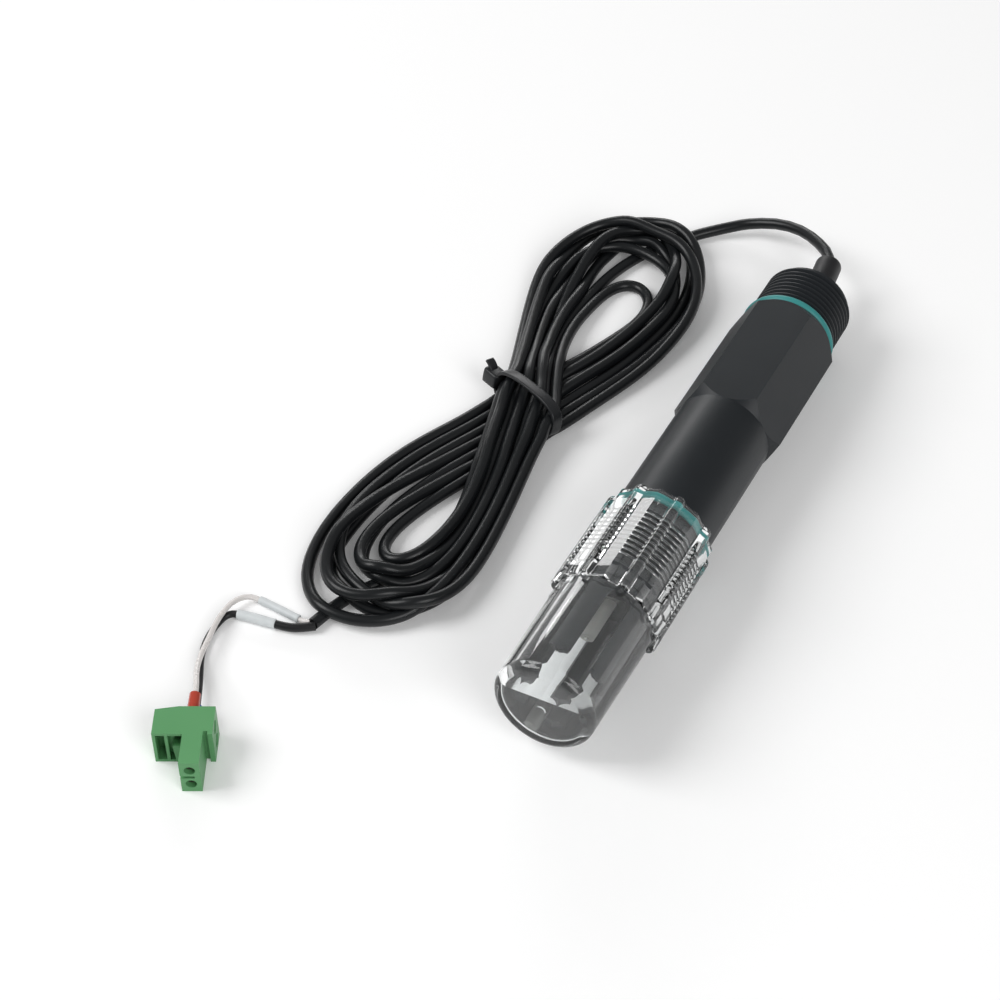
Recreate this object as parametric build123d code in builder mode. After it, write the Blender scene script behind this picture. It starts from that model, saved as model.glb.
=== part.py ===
"""Redox probe kit: a capped probe on a G3/4 body, its tied cable and a two-pole plug.

Sizes are in millimetres. The probe lies along +Y with its storage cap towards -Y. It rests on
two ribs of the cap and one flat of its hexagon, so its axis falls a little towards the rear.
Along the probe, stations are measured from the shoulder that the cap screws up to.
"""
import os
from math import atan2, cos, pi, radians, sin, tan

from build123d import *

os.makedirs("parts", exist_ok=True)

# Pipe thread of both ends, G3/4: crest radius, depth, pitch and flank angle
thread_crest_r = 13.22
thread_depth = 1.162
thread_pitch = 1.814
flank_angle = 27.5

# Probe body, one moulding
barrel_r = 13.75
barrel_length = 43.0
hex_across_flats = 27.5
hex_length = 46.6
hex_corner_cut = 3.5
front_neck_length = 6.9
front_thread_length = 18.5
nose_length = 5.5
nose_r = 11.9
rear_neck_length = 3.4
rear_thread_length = 15.7
rear_chamfer = 1.5
body_bore_r = 10.0
front_wall = 4.0

# Guard around the sensing stem
guard_r = 11.5
guard_wall = 1.9
guard_length = 31.0
guard_slot_width = 6.3
guard_slot_stop = 3.5
guard_tip_radius = 2.6
guard_slot_angle = 62.5

# O-rings
ring_section_r = 1.33
ring_inner_r = 11.4
ring_groove_room = 1.0

# Storage cap
cap_end_r = 13.85
cap_cup_r = 14.2
cap_wall = 1.8
cap_end_wall = 2.0
cap_end_fillet = 2.5
cup_length = 35.1
collar_length = 36.0
collar_r = 15.5
collar_bore_r = 13.4
collar_seat_depth = 4.6
collar_seat_clearance = 0.5
collar_seat_cone = 0.8
collar_bore_start = 2.75
collar_edge = 0.6
collar_overlap = 0.7
rib_count = 8
rib_r = 1.6
gate_r = 1.2
gate_height = 0.3

# Storage solution
solution_clearance = 0.3
solution_level = 2.5

# Electrode inside the body
plug_face_r = 7.4
plug_length = 20.0
plug_clearance = 0.02
stem_r = 2.0
stem_reach = 14.0
stem_length = 95.0
stem_wall = 0.5
platinum_r = 0.6
platinum_reach = 0.4
platinum_length = 6.0
frit_r = 1.2
frit_length = 6.0
frit_offset = 4.7
silver_r = 0.5
silver_bend = 85.0
silver_inset = 1.0
silver_end_gap = 0.12
gel_length = 22.0
gel_seal_length = 6.0
potting_length = 14.0
potting_recess = 0.4

# Cable, its strain relief and its tie
cable_d = 3.3
gland_r = 3.95
gland_reach = 17.5
gland_straight = 4.0
gland_lean = 9.0
gland_fillet = 0.8
gland_grip = 7.0
lead_straight = 3.6
bend_share = 0.45
hank_height = 8.6
hank_edge = 2.5
waist_height = 10.0
waist_width = 24.0
waist_length = 30.0
tie_width = 3.6
tie_thickness = 1.1
tie_head_size = (5.2, 5.6, 4.6)
tie_head_round = 0.6
tie_head_lift = 0.5

# Wires, markers and ferrules
core_d = 1.5
shield_d = 1.9
split_offset = 1.05
marker_wall = 0.38
marker_clearance = 0.02
marker_inset = 0.9
wire_straight = 3.0
collar_front_r = 1.6
collar_rear_r = 1.45
ferrule_collar_length = 6.3
ferrule_pin_r = 0.75
ferrule_pin_length = 6.2
ferrule_pin_grip = 2.1

# Two-pole plug: across, height and depth of the block, arm and its sockets
pole_pitch = 5.08
plug_height = 10.8
plug_across = 15.2
plug_depth = 9.0
plug_corner_cut = (6.0, 1.0)
arm_start = 7.7
arm_width = 5.1
arm_reach = 9.4
tower_gap = 0.8
tower_gap_width = 3.6
tower_gap_depth = 3.0
groove_width = 1.1
groove_depth = 1.0
socket_r = 1.4
contact_r = 1.3
contact_bore_r = 0.75
contact_mouth = 1.5
wire_across = 9.1
wire_hole_r = 1.1
wire_funnel_r = 1.5
wire_funnel_depth = 0.8
rear_wall = 1.4
cavity_depth = 5.8
cavity_height = 4.2
cage_height = 3.9
cage_depth = 4.6
cage_wall = 0.7
cage_span = 6.0
cage_travel = 2.2
tongue_thickness = 0.5
tongue_width = 2.4
fit_gap = 0.05
cage_end_gap = 0.2
cage_top_gap = 0.1
screw_head_r = 1.7
screw_head_height = 1.0
screw_shank_r = 1.2
screw_slot_width = 0.5
screw_slot_depth = 0.5
screw_hole_clearance = 0.15
screw_slot_turn = 35.0
pocket_depth = 2.2
pocket_wall = 0.8
window_width = 2.3
tab_width = 2.0
tab_height = 6.5
tab_taper = 0.5

# Where the free pieces lie on the table
plug_corner = (-89.7, -135.5)
plug_turn = 26.0
tie_centre = (-58.2, 10.8)
tie_turn = -23.5
tie_lean = 14.0

# Stations along the probe
thread_root_r = thread_crest_r - thread_depth
front_groove_width = 2 * ring_section_r + ring_groove_room
hex_flat_r = hex_across_flats / 2
hex_corner_r = hex_flat_r / cos(radians(30))
front_thread_start = -front_neck_length - front_thread_length
nose_face = front_thread_start - nose_length
guard_tip = nose_face - guard_length
hex_front = barrel_length
hex_rear = hex_front + hex_length
rear_thread_start = hex_rear + rear_neck_length
rear_thread_end = rear_thread_start + rear_thread_length
body_end = rear_thread_end + rear_chamfer
gland_end = body_end + gland_reach
potting_end = body_end - potting_recess
gland_root = potting_end - gland_grip
potting_start = potting_end - potting_length
cap_mouth = collar_overlap
collar_front = cap_mouth - collar_length
cap_end = collar_front - cup_length
cup_inner_r = cap_cup_r - cap_wall
cap_end_inner_r = cap_end_r - cap_wall
chamber_r = guard_r - guard_wall

# Rest: the ribs' ends at the cap's mouth and the hexagon's rear edge touch the table
rib_rest_r = collar_r * cos(pi / rib_count) + rib_r
rest_tilt = atan2(rib_rest_r - hex_flat_r, hex_rear - cap_mouth)
mid_station = (cap_end + gland_end) / 2
shoulder_height = rib_rest_r * cos(rest_tilt) + cap_mouth * sin(rest_tilt)
shoulder = Vector(0, -mid_station * cos(rest_tilt), shoulder_height)
along = Vector(0, cos(rest_tilt), -sin(rest_tilt))
probe_axis = Axis(shoulder, along)

# Planes of the probe: lengthwise takes (radius, station), across(station) a cross section
lengthwise = Plane(origin=shoulder, x_dir=(1, 0, 0), z_dir=(0, sin(rest_tilt), cos(rest_tilt)))


def across(station):
    """Cross section of the probe, x to the right and y downwards, facing the rear."""
    return Plane(origin=shoulder + along * station, x_dir=(1, 0, 0), z_dir=along)


def turned_lengthwise(angle):
    """Lengthwise plane whose normal points at this angle from the right, counted upwards."""
    facing = Vector(cos(radians(angle)), 0, 0) + lengthwise.z_dir * sin(radians(angle))
    return Plane(origin=shoulder, x_dir=along.cross(facing), z_dir=facing)


def thread_profile(start, length):
    """Points of an outside thread's ridges in (radius, station), root to root."""
    flank = thread_depth * tan(radians(flank_angle))
    crest = thread_pitch / 2 - flank
    points = []
    for turn in range(int(length / thread_pitch)):
        base = start + turn * thread_pitch
        points += [(thread_root_r, base), (thread_crest_r, base + flank)]
        points += [(thread_crest_r, base + flank + crest), (thread_root_r, base + 2 * flank + crest)]
    return points


def save(piece, name):
    """Name a finished piece and write it."""
    piece.part.label = name
    export_step(piece.part, f"parts/{name}.step")


def bend_radii(route):
    """Radius of each arc of a cord: a share of its shorter run over tan(half turn)."""
    runs = [b - a for a, b in zip(route, route[1:])]
    return [
        bend_share * min(before.length, after.length) / tan(radians(before.get_angle(after) / 2))
        for before, after in zip(runs, runs[1:])
    ]


def tube(name, route, diameter):
    """Round cord or wire along a route: straight runs joined by arcs, its volume printed as a test."""
    radii = bend_radii(route)
    with BuildPart() as cord:
        with BuildLine() as path:
            FilletPolyline(*route, radius=radii)
        with BuildSketch(Plane(origin=route[0], z_dir=route[1] - route[0])):
            Circle(diameter / 2)
        sweep(path=path.wire())
    length = path.wire().length
    error = cord.part.volume / (pi * diameter**2 / 4 * length) - 1
    print(name, "length", round(length, 1), "radii", [round(r, 1) for r in radii], f"volume {error:+.4f}")
    save(cord, name)
    return cord


# Probe body: guard, nose, front thread, barrel, hexagon and rear thread in one moulding
front_profile = [(0, guard_tip), (guard_r, guard_tip), (guard_r, nose_face), (nose_r, nose_face)]
front_profile += [(nose_r, front_thread_start)]
front_profile += thread_profile(front_thread_start, front_thread_length)
front_profile += [(thread_root_r, -front_groove_width), (ring_inner_r, -front_groove_width)]
front_profile += [(ring_inner_r, 0), (barrel_r, 0), (barrel_r, hex_front), (0, hex_front)]
rear_profile = [(0, hex_rear), (ring_inner_r, hex_rear), (ring_inner_r, rear_thread_start)]
rear_profile += thread_profile(rear_thread_start, rear_thread_length)
rear_profile += [(thread_root_r, rear_thread_end), (thread_root_r - rear_chamfer, body_end), (0, body_end)]

with BuildPart() as body_shell:
    with BuildSketch(across(hex_front)):
        RegularPolygon(radius=hex_corner_r, side_count=6)
    extrude(amount=hex_length)
    with BuildSketch(lengthwise):
        with BuildLine():
            Polyline(
                (0, hex_front),
                (hex_flat_r, hex_front),
                (hex_corner_r, hex_front + hex_corner_cut),
                (hex_corner_r, hex_rear - hex_corner_cut),
                (hex_flat_r, hex_rear),
                (0, hex_rear),
                close=True,
            )
        make_face()
    revolve(axis=probe_axis, mode=Mode.INTERSECT)
    for profile in (front_profile, rear_profile):
        with BuildSketch(lengthwise):
            with BuildLine():
                Polyline(*profile, close=True)
            make_face()
        revolve(axis=probe_axis)
    with BuildSketch(lengthwise):
        with BuildLine():
            Polyline(
                (0, guard_tip),
                (chamber_r, guard_tip),
                (chamber_r, nose_face),
                (plug_face_r, nose_face),
                (plug_face_r, nose_face + front_wall),
                (body_bore_r, nose_face + front_wall),
                (body_bore_r, body_end),
                (0, body_end),
                close=True,
            )
        make_face()
    revolve(axis=probe_axis, mode=Mode.SUBTRACT)
    slot_root = nose_face - guard_slot_stop - guard_slot_width / 2
    slot_side = guard_slot_width / 2
    lip = slot_side + guard_tip_radius
    for turn in range(3):
        with BuildSketch(turned_lengthwise(guard_slot_angle + 60 * turn)):
            with BuildLine():
                Polyline(
                    (slot_side, slot_root),
                    (slot_side, guard_tip + guard_tip_radius),
                )
                RadiusArc((slot_side, guard_tip + guard_tip_radius), (lip, guard_tip), guard_tip_radius)
                Polyline((lip, guard_tip), (lip, guard_tip - 1), (-lip, guard_tip - 1), (-lip, guard_tip))
                RadiusArc((-lip, guard_tip), (-slot_side, guard_tip + guard_tip_radius), guard_tip_radius)
                Line((-slot_side, guard_tip + guard_tip_radius), (-slot_side, slot_root))
                ThreePointArc((-slot_side, slot_root), (0, slot_root + slot_side), (slot_side, slot_root))
            make_face()
        extrude(amount=guard_r + 1, both=True, mode=Mode.SUBTRACT)
save(body_shell, "body_shell")


# O-rings at the front shoulder and behind the hexagon
def o_ring(station):
    """O-ring seated against the face at this station, its section round."""
    with BuildPart() as ring:
        with BuildSketch(lengthwise):
            with Locations((ring_inner_r + ring_section_r, station)):
                Circle(ring_section_r)
        revolve(axis=probe_axis)
    return ring


save(o_ring(-ring_section_r), "front_o_ring")
save(o_ring(hex_rear + ring_section_r), "rear_o_ring")

# Storage cap: clear cup with a ribbed collar over the front thread
with BuildPart() as protective_cap:
    with BuildSketch(lengthwise):
        with BuildLine():
            Polyline(
                (0, cap_end),
                (cap_end_r, cap_end),
                (cap_cup_r, collar_front),
                (collar_r - collar_edge, collar_front),
                (collar_r, collar_front + collar_edge),
                (collar_r, cap_mouth),
                (0, cap_mouth),
                close=True,
            )
        make_face()
    revolve(axis=probe_axis)
    fillet(protective_cap.faces().sort_by(probe_axis)[0].edges(), cap_end_fillet)
    with BuildSketch(across(collar_front)):
        with PolarLocations(collar_r, rib_count, start_angle=180 / rib_count):
            Circle(rib_r)
    extrude(amount=collar_length)
    seat_start = cap_mouth - collar_seat_depth
    with BuildSketch(lengthwise):
        with BuildLine():
            Polyline(
                (0, cap_end + cap_end_wall),
                (cap_end_inner_r, cap_end + cap_end_wall),
                (cup_inner_r, nose_face),
                (collar_bore_r, nose_face + collar_bore_start),
                (collar_bore_r, seat_start),
                (barrel_r + collar_seat_clearance, seat_start + collar_seat_cone),
                (barrel_r + collar_seat_clearance, cap_mouth),
                (0, cap_mouth),
                close=True,
            )
        make_face()
    revolve(axis=probe_axis, mode=Mode.SUBTRACT)
    with BuildSketch(across(cap_end)):
        Circle(gate_r)
    extrude(amount=-gate_height)
save(protective_cap, "protective_cap")

# Storage solution: it fills the lying cap to a level line, around the guard and the stem
with BuildPart() as storage_solution:
    pool_front = cap_end + cap_end_wall + solution_clearance
    pool_step = guard_tip - solution_clearance
    pool_rear = nose_face - solution_clearance
    pool_r = cap_end_inner_r - solution_clearance
    core_r = chamber_r - solution_clearance
    well_front = nose_face - stem_reach - platinum_reach - solution_clearance
    well_r = stem_r + solution_clearance
    with BuildSketch(lengthwise):
        with BuildLine():
            Polyline(
                (0, pool_front),
                (pool_r, pool_front),
                (pool_r, pool_step),
                (core_r, pool_step),
                (core_r, pool_rear),
                (well_r, pool_rear),
                (well_r, well_front),
                (0, well_front),
                close=True,
            )
        make_face()
    revolve(axis=probe_axis)
    level_height = (shoulder + along * cap_end).Z + solution_level
    split(bisect_by=Plane.XY.offset(level_height), keep=Keep.BOTTOM)
save(storage_solution, "storage_solution")

# Electrode plug: carries the stem and the frits, shouldered behind the front wall
with BuildPart() as electrode_plug:
    with BuildSketch(lengthwise):
        with BuildLine():
            Polyline(
                (0, nose_face),
                (plug_face_r - plug_clearance, nose_face),
                (plug_face_r - plug_clearance, nose_face + front_wall),
                (body_bore_r - plug_clearance, nose_face + front_wall),
                (body_bore_r - plug_clearance, nose_face + front_wall + plug_length),
                (0, nose_face + front_wall + plug_length),
                close=True,
            )
        make_face()
    revolve(axis=probe_axis)
    with BuildSketch(across(nose_face)):
        Circle(stem_r + plug_clearance)
    extrude(amount=front_wall + plug_length, mode=Mode.SUBTRACT)
    with BuildSketch(across(nose_face)):
        with PolarLocations(frit_offset, 2):
            Circle(frit_r + plug_clearance)
    extrude(amount=frit_length, mode=Mode.SUBTRACT)
    with BuildSketch(across(nose_face + frit_length)):
        with Locations((frit_offset, 0)):
            Circle(silver_r + plug_clearance)
    extrude(amount=front_wall + plug_length - frit_length, mode=Mode.SUBTRACT)
save(electrode_plug, "electrode_plug")

# Sensing stem: a glass tube closed at its tip around the platinum pin
stem_tip = nose_face - stem_reach
with BuildPart() as sensing_stem:
    with BuildSketch(across(stem_tip)):
        Circle(stem_r)
    extrude(amount=stem_length)
    with BuildSketch(across(stem_tip)):
        Circle(platinum_r + plug_clearance)
    extrude(amount=platinum_length, mode=Mode.SUBTRACT)
    with BuildSketch(across(stem_tip + platinum_length)):
        Circle(stem_r - stem_wall)
    extrude(amount=stem_length, mode=Mode.SUBTRACT)
save(sensing_stem, "sensing_stem")

with BuildPart() as platinum_pin:
    with BuildSketch(across(stem_tip - platinum_reach)):
        Circle(platinum_r)
    extrude(amount=platinum_reach + platinum_length)
save(platinum_pin, "platinum_pin")

with BuildPart() as sensing_lead:
    with BuildSketch(across(stem_tip + platinum_length)):
        Circle(silver_r)
    extrude(amount=gland_root - stem_tip - platinum_length)
save(sensing_lead, "sensing_lead")

with BuildPart() as reference_frits:
    with BuildSketch(across(nose_face)):
        with PolarLocations(frit_offset, 2):
            Circle(frit_r)
    extrude(amount=frit_length)
save(reference_frits, "reference_frits")

reference_wire = tube(
    "reference_wire",
    [
        lengthwise.from_local_coords(Vector(frit_offset, nose_face + frit_length)),
        lengthwise.from_local_coords(Vector(frit_offset, silver_bend)),
        lengthwise.from_local_coords(Vector(silver_inset, gland_root - silver_end_gap)),
    ],
    2 * silver_r,
)

# Reference gel and the disc that seals it, around the stem and the reference wire
gel_start = nose_face + front_wall + plug_length
gel_end = gel_start + gel_length
for name, start, length in (
    ("reference_gel", gel_start, gel_length),
    ("gel_seal", gel_end, gel_seal_length),
):
    with BuildPart() as filling:
        with BuildSketch(across(start)):
            Circle(body_bore_r - plug_clearance)
            Circle(stem_r + plug_clearance, mode=Mode.SUBTRACT)
            with Locations((frit_offset, 0)):
                Circle(silver_r + plug_clearance, mode=Mode.SUBTRACT)
        extrude(amount=length)
    save(filling, name)

# Rear potting around the root of the strain relief and the two electrode wires
with BuildPart() as rear_potting:
    with BuildSketch(across(potting_start)):
        Circle(body_bore_r - plug_clearance)
    extrude(amount=potting_length)
    with BuildSketch(across(gland_root)):
        Circle(gland_r + plug_clearance)
    extrude(amount=gland_grip, mode=Mode.SUBTRACT)
    add(sensing_lead.part, mode=Mode.SUBTRACT)
    add(reference_wire.part, mode=Mode.SUBTRACT)
save(rear_potting, "rear_potting")

# Strain relief: a moulded sleeve around the cable, pulled a little to the left by it
mouth_facing = along * cos(radians(gland_lean)) + Vector(-sin(radians(gland_lean)), 0, 0)
gland_bend = shoulder + along * (body_end + gland_straight)
gland_mouth = gland_bend + mouth_facing * ((gland_reach - gland_straight) / cos(radians(gland_lean)))
gland_route = [shoulder + along * gland_root, gland_bend, gland_mouth]
with BuildPart() as cable_gland:
    with BuildLine() as gland_path:
        FilletPolyline(*gland_route, radius=bend_radii(gland_route))
    with BuildSketch(across(gland_root)):
        Circle(gland_r)
        Circle(cable_d / 2 + plug_clearance, mode=Mode.SUBTRACT)
    sweep(path=gland_path.wire())
    fillet(cable_gland.faces().sort_by(probe_axis)[-1].edges().sort_by(SortBy.LENGTH)[-1], gland_fillet)
save(cable_gland, "cable_gland")

# Cable from the probe into the hank
lead_route = [*gland_route[:2], gland_mouth + mouth_facing * lead_straight]
lead_route += [Vector(*p) for p in (
    (-8.7, 108.6, 11.6),
    (-16.3, 114.4, 9.9),
    (-25.4, 117.6, 7.3),
    (-34.5, 116.6, 4.5),
    (-42.6, 112.2, 2.5),
    (-49.3, 106.0, 1.75),
)]
tube("cable_lead", lead_route, cable_d)

tail_route = [Vector(*p) for p in (
    (-69.8, -72.8, 1.7),
    (-70.9, -78.8, 1.7),
    (-72.0, -83.6, 1.7),
    (-72.9, -87.0, 1.7),
)]
tube("cable_tail", tail_route, cable_d)

# Hank: the outer shape of the turns, two lobes and a tied waist
lobe_outline = (
    (-46.6, 11.2), (-46.6, -6.8), (-42.8, -34.8), (-41.8, -56.8), (-46.6, -75.8), (-60.0, -84.6),
    (-76.0, -80.8), (-86.6, -65.8), (-88.9, -45.8), (-83.5, -18.8), (-72.6, 5.2), (-70.6, 19.2),
    (-77.0, 46.2), (-82.3, 71.2), (-79.2, 97.2), (-68.0, 106.0), (-54.0, 108.2), (-40.5, 99.7),
    (-32.6, 79.2), (-34.0, 49.2), (-42.6, 23.2),
)
lower_eye = (
    (-60.2, -28.8), (-57.2, -38.8), (-58.6, -47.8), (-63.5, -53.8), (-66.4, -50.8), (-65.6, -38.8),
)
upper_eye = (
    (-59.2, 33.2), (-53.0, 47.2), (-47.2, 62.2), (-49.0, 72.7), (-56.0, 75.2), (-61.2, 65.2),
    (-61.6, 45.2),
)
tie_side = Vector(cos(radians(tie_turn)), sin(radians(tie_turn)), 0)
waist_run = Vector(-sin(radians(tie_turn)), cos(radians(tie_turn)), 0)
waist_middle = tie_thickness + waist_height / 2
waist_plane = Plane(origin=(*tie_centre, waist_middle), x_dir=tie_side, z_dir=waist_run)
tie_normal = waist_run * cos(radians(tie_lean)) - Vector(0, 0, 1) * sin(radians(tie_lean))
tie_middle = waist_middle * cos(radians(tie_lean)) + tie_width / 2 * sin(radians(tie_lean))
tie_plane = Plane(origin=(*tie_centre, tie_middle), x_dir=tie_side, z_dir=tie_normal)

with BuildPart() as cable_tie:
    with BuildSketch(tie_plane):
        SlotOverall(waist_width + 2 * tie_thickness, waist_height + 2 * tie_thickness)
        SlotOverall(waist_width, waist_height, mode=Mode.SUBTRACT)
    extrude(amount=tie_width / 2, both=True)
    head_width, head_depth, head_height = tie_head_size
    with BuildSketch(tie_plane):
        with Locations((-waist_width / 2 - head_width / 2, tie_head_lift)):
            RectangleRounded(head_width, head_height, tie_head_round)
    extrude(amount=head_depth / 2, both=True)
save(cable_tie, "cable_tie")

with BuildPart() as cable_hank:
    with BuildSketch():
        with BuildLine():
            Spline(*lobe_outline, periodic=True)
        make_face()
        for eye in (lower_eye, upper_eye):
            with BuildLine():
                Spline(*eye, periodic=True)
            make_face(mode=Mode.SUBTRACT)
    extrude(amount=hank_height)
    fillet(cable_hank.faces().sort_by(Axis.Z)[-1].edges(), hank_edge)
    with BuildSketch(waist_plane.offset(-waist_length / 2)):
        SlotOverall(waist_width, waist_height)
    extrude(amount=waist_length)
    add(cable_tie.part, mode=Mode.SUBTRACT)
save(cable_hank, "cable_hank")

# Wires from the end of the jacket: the core and the shield part and each carries a marker
split_end = tail_route[-1]
split_facing = (tail_route[-1] - tail_route[-2]).normalized()
split_left = Vector(split_facing.Y, -split_facing.X, 0)
core_exit = split_end + split_left * split_offset
shield_exit = split_end - split_left * split_offset
core_marker_ends = (Vector(-77.2, -86.9, 1.4), Vector(-89.6, -85.4, 1.4))
shield_marker_ends = (Vector(-82.0, -91.3, 1.5), Vector(-92.9, -92.4, 1.5))

# Plug frame: x across towards the screws, y towards the wires, z up; depth counts from the wire face
plug_frame = Plane(
    origin=(*plug_corner, 0), x_dir=(cos(radians(plug_turn)), sin(radians(plug_turn)), 0), z_dir=(0, 0, 1)
)
pole_heights = (plug_height / 2 - pole_pitch / 2, plug_height / 2 + pole_pitch / 2)
socket_across = arm_start + arm_width / 2
plug_reach = plug_depth + arm_reach
cavity_end = rear_wall + cavity_depth
cage_floor_top = wire_across - ferrule_pin_r - fit_gap
tongue_bottom = wire_across + ferrule_pin_r + fit_gap
tongue_top = tongue_bottom + tongue_thickness
cage_bottom = cage_floor_top - cage_wall
cage_top = cage_bottom + cage_span
cage_start = rear_wall + (cavity_depth - cage_depth) / 2
cage_middle = cage_start + cage_depth / 2
head_seat = cage_top + cage_end_gap


def plug_point(x, depth, height):
    """Point of the plug in the frame of the whole kit."""
    return plug_frame.from_local_coords(Vector(x, -depth, height))


def plug_section(depth):
    """Section of the plug facing its mating side: x across, y up."""
    return Plane(origin=plug_point(0, depth, 0), x_dir=plug_frame.x_dir, z_dir=-plug_frame.y_dir)


def side_section(x):
    """Section of the plug facing its screw side: x towards the wires, y up."""
    return Plane(origin=plug_point(x, 0, 0), x_dir=plug_frame.y_dir, z_dir=plug_frame.x_dir)


core_entry = plug_point(wire_across, -ferrule_collar_length, pole_heights[1])
shield_entry = plug_point(wire_across, -ferrule_collar_length, pole_heights[0])
wire_in = -plug_frame.y_dir

core_route = [core_exit, Vector(-75.4, -87.1, 1.5), *core_marker_ends]
core_route += [Vector(*p) for p in (
    (-93.4, -86.0, 2.0),
    (-95.8, -90.4, 2.6),
    (-95.6, -97.3, 3.1),
    (-94.0, -104.2, 3.3),
    (-92.5, -111.0, 3.7),
    (-89.8, -117.1, 5.2),
)]
core_route += [core_entry - wire_in * wire_straight, core_entry]
tube("core_wire", core_route, core_d)

shield_route = [shield_exit, Vector(-76.6, -90.8, 1.4), *shield_marker_ends]
shield_route += [Vector(*p) for p in (
    (-95.4, -93.8, 1.2),
    (-96.0, -98.2, 1.0),
    (-95.4, -104.4, 1.0),
    (-93.2, -110.2, 1.1),
    (-89.5, -116.2, 1.8),
)]
shield_route += [shield_entry - wire_in * wire_straight, shield_entry]
tube("shield_wire", shield_route, shield_d)


def marker(name, ends, wire_d):
    """Marker sleeve: a short tube slid over a straight stretch of wire."""
    start, end = ends
    facing = (end - start).normalized()
    with BuildPart() as sleeve:
        with BuildSketch(Plane(origin=start + facing * marker_inset, z_dir=facing)):
            Circle(wire_d / 2 + marker_clearance + marker_wall)
            Circle(wire_d / 2 + marker_clearance, mode=Mode.SUBTRACT)
        extrude(amount=(end - start).length - 2 * marker_inset)
    save(sleeve, name)


marker("core_marker", core_marker_ends, core_d)
marker("shield_marker", shield_marker_ends, shield_d)

# Crimped ferrules: an insulating collar outside the block and a copper pin in the clamp
for name, height in (("core_ferrule", pole_heights[1]), ("shield_ferrule", pole_heights[0])):
    with BuildPart() as collar:
        with BuildSketch(plug_section(0)):
            with Locations((wire_across, height)):
                Circle(collar_front_r)
        with BuildSketch(plug_section(-ferrule_collar_length)):
            with Locations((wire_across, height)):
                Circle(collar_rear_r)
        loft()
        with BuildSketch(plug_section(0)):
            with Locations((wire_across, height)):
                Circle(ferrule_pin_r + plug_clearance)
        extrude(amount=-ferrule_pin_grip, mode=Mode.SUBTRACT)
    save(collar, name)
    with BuildPart() as pin:
        with BuildSketch(plug_section(-ferrule_pin_grip)):
            with Locations((wire_across, height)):
                Circle(ferrule_pin_r)
        extrude(amount=ferrule_pin_grip + ferrule_pin_length)
    save(pin, name + "_pin")

# Plug housing: block, contact arm, wire funnels, clamp cavities, screw holes and keyed pocket
corner_across, corner_depth = plug_corner_cut
with BuildPart() as terminal_housing:
    with BuildSketch(plug_frame):
        with BuildLine():
            Polyline(
                (0, -corner_depth),
                (corner_across, 0),
                (plug_across, 0),
                (plug_across, -plug_depth),
                (0, -plug_depth),
                close=True,
            )
        make_face()
        with Locations((socket_across, -plug_depth - arm_reach / 2)):
            Rectangle(arm_width, arm_reach)
    extrude(amount=plug_height)
    with BuildSketch(plug_section(plug_reach)):
        with Locations((arm_start + tower_gap_width / 2, plug_height / 2)):
            Rectangle(tower_gap_width, tower_gap)
    extrude(amount=-tower_gap_depth, mode=Mode.SUBTRACT)
    with BuildSketch(plug_section(plug_depth)):
        with Locations((arm_start + arm_width + groove_width / 2, plug_height / 2)):
            Rectangle(groove_width, plug_height)
    extrude(amount=-groove_depth, mode=Mode.SUBTRACT)
    pocket_height = plug_height - 2 * pocket_wall
    with BuildSketch(plug_section(plug_depth)):
        with Locations((pocket_wall, pocket_wall)):
            Rectangle(arm_start - pocket_wall, pocket_height, align=(Align.MIN, Align.MIN))
    extrude(amount=-pocket_depth, mode=Mode.SUBTRACT)
    with BuildSketch(plug_section(plug_depth)):
        with Locations((pocket_wall, pocket_wall)):
            Rectangle(window_width, pocket_height, align=(Align.MIN, Align.MIN))
    extrude(amount=-2 * pocket_depth, mode=Mode.SUBTRACT)
    with BuildSketch(plug_section(plug_depth - pocket_depth)):
        with Locations((pocket_wall + window_width, 0)):
            Rectangle(pocket_wall, plug_height, align=(Align.MIN, Align.MIN))
    extrude(amount=pocket_depth)
    tab_across = arm_start - pocket_wall - tab_width
    with BuildSketch(plug_section(plug_depth - pocket_depth)):
        with BuildLine():
            Polyline(
                (tab_across, tab_height),
                (tab_across + tab_width, tab_height),
                (tab_across + tab_width - tab_taper, pocket_wall),
                (tab_across + tab_taper, pocket_wall),
                close=True,
            )
        make_face()
    extrude(amount=pocket_depth + pocket_wall / 2)
    for height in pole_heights:
        with BuildSketch(plug_section(0)):
            with Locations((wire_across, height)):
                Circle(wire_funnel_r)
        with BuildSketch(plug_section(wire_funnel_depth)):
            with Locations((wire_across, height)):
                Circle(wire_hole_r)
        loft(mode=Mode.SUBTRACT)
        with BuildSketch(plug_section(0)):
            with Locations((wire_across, height)):
                Circle(wire_hole_r)
        extrude(amount=rear_wall, mode=Mode.SUBTRACT)
        with BuildSketch(plug_section(rear_wall)):
            with Locations((cage_bottom - cage_travel - cage_end_gap, height)):
                Rectangle(
                    cage_span + cage_travel + cage_end_gap + cage_top_gap,
                    cavity_height,
                    align=(Align.MIN, Align.CENTER),
                )
        extrude(amount=cavity_depth, mode=Mode.SUBTRACT)
        with BuildSketch(side_section(plug_across)):
            with Locations((-cage_middle, height)):
                Circle(screw_head_r + screw_hole_clearance)
        extrude(amount=-(plug_across - cage_top), mode=Mode.SUBTRACT)
        with BuildSketch(plug_section(cavity_end)):
            with Locations((socket_across, height)):
                Circle(contact_r + plug_clearance)
        extrude(amount=plug_reach - cavity_end, mode=Mode.SUBTRACT)
        with BuildSketch(plug_section(plug_reach)):
            with Locations((socket_across, height)):
                Circle(socket_r)
        extrude(amount=-contact_mouth, mode=Mode.SUBTRACT)
save(terminal_housing, "terminal_housing")

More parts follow.
